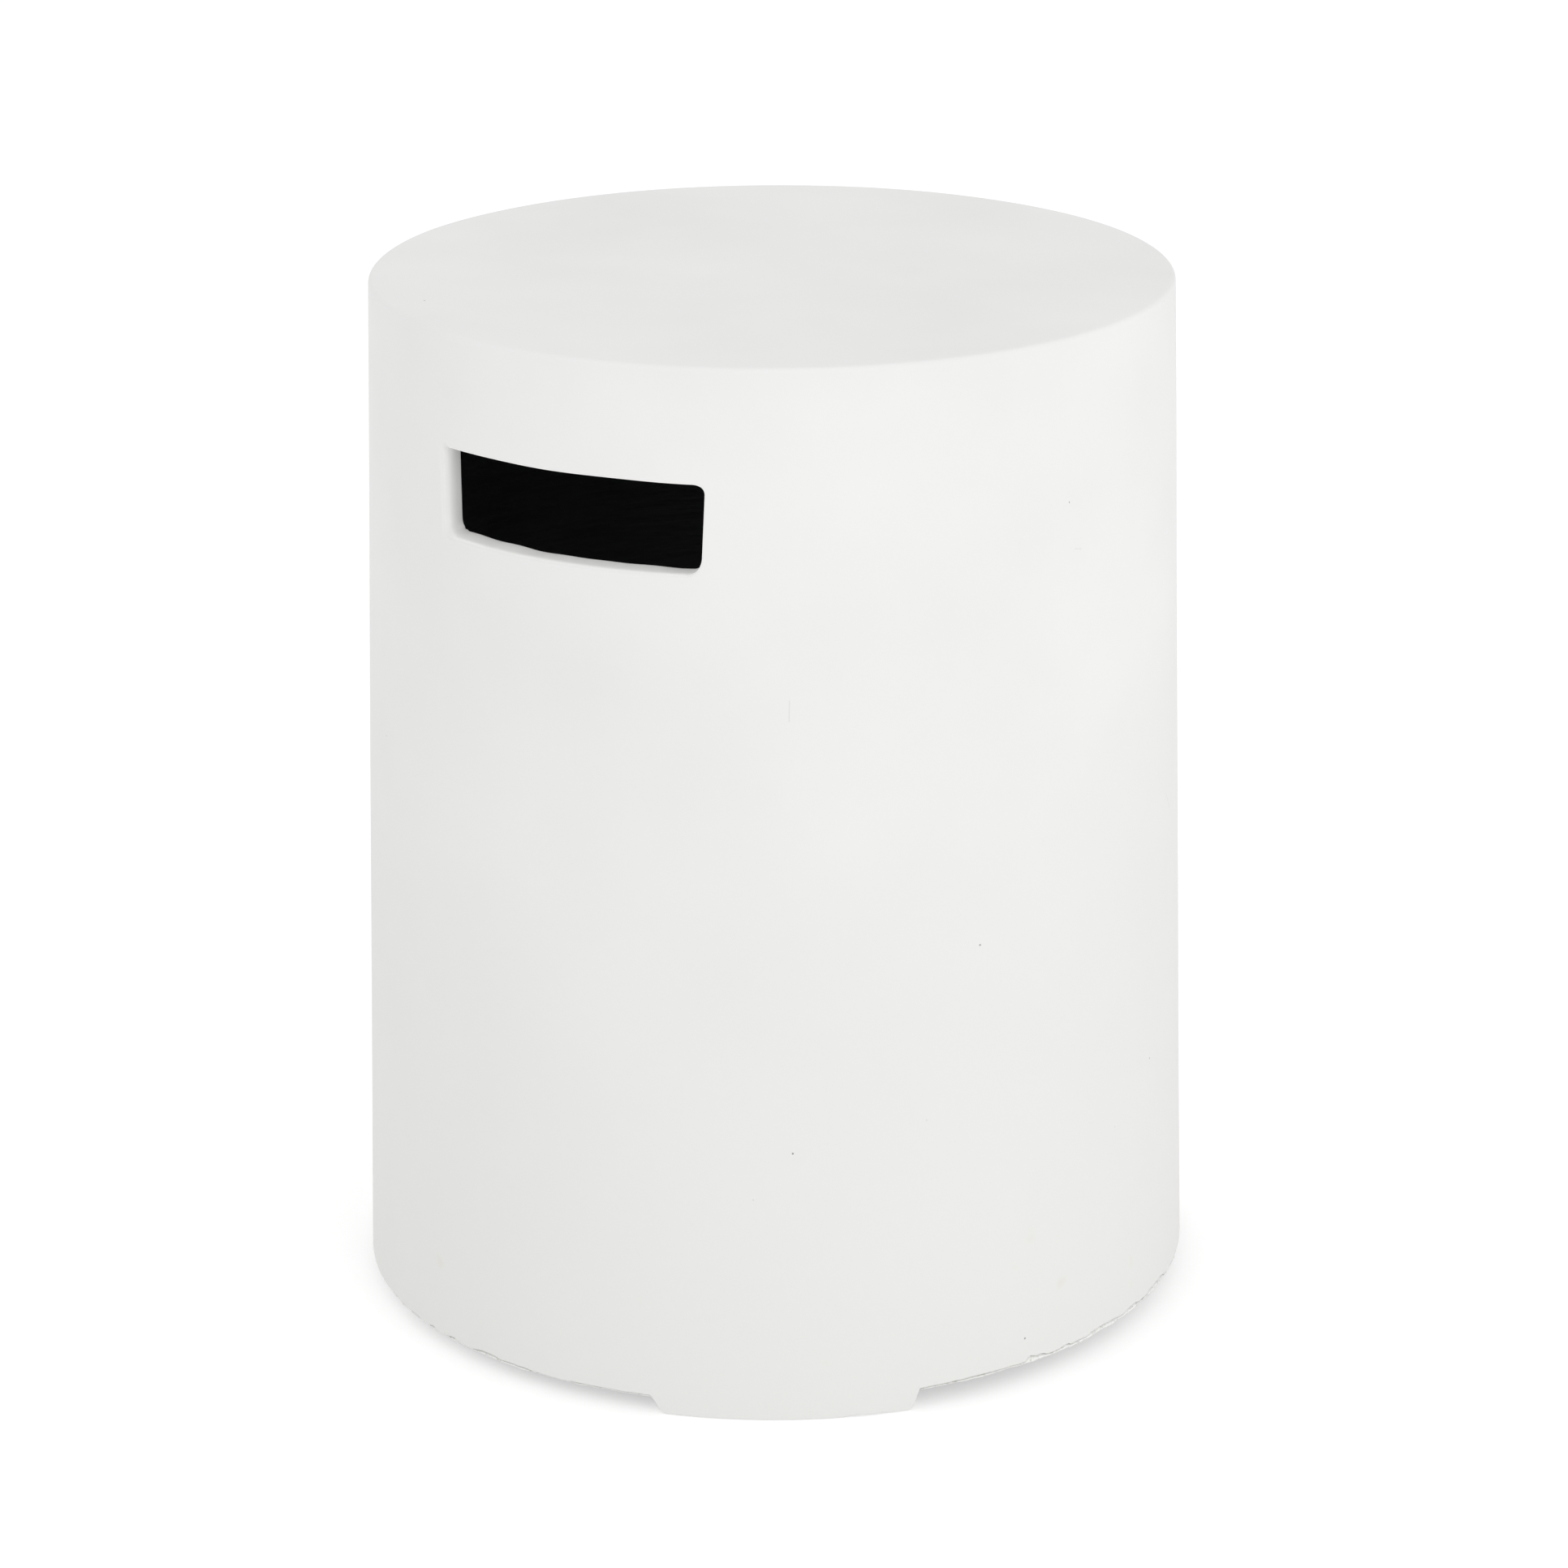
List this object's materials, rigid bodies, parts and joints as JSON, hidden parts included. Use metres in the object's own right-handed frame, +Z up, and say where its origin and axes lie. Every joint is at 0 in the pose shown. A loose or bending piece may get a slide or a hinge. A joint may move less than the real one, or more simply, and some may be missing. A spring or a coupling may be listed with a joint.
{
  "type": "gas bottle cover table",
  "caption": "Round cast-concrete drum with a closed flat top, an open underside, finger slots for lifting and low feet; it hides a gas bottle and serves as a side table.",
  "frame": {"origin": "on the drum's axis, on the floor that its feet stand on", "axes": "+Z up along the drum's axis; the finger slots face -Y and +Y; the feet stand at 60 degrees either side of +X and on -X"},
  "size_m": [0.422, 0.422, 0.52],
  "materials": {
    "white_face_mix": "matte",
    "fibre_mortar": "matte",
    "glass_scrim": "matte",
    "dark_sealer": "matte",
    "galvanised_rod": "satin"
  },
  "bodies": {
    "root": {"face_coat": "white_face_mix", "scrim_wall": "glass_scrim", "scrim_top": "glass_scrim", "backing_wall": "fibre_mortar", "backing_top": "fibre_mortar", "inner_sealer": "dark_sealer", "base_hoop": "galvanised_rod", "lintel_bar_front": "galvanised_rod", "lintel_bar_back": "galvanised_rod"}
  },
  "joints": []
}
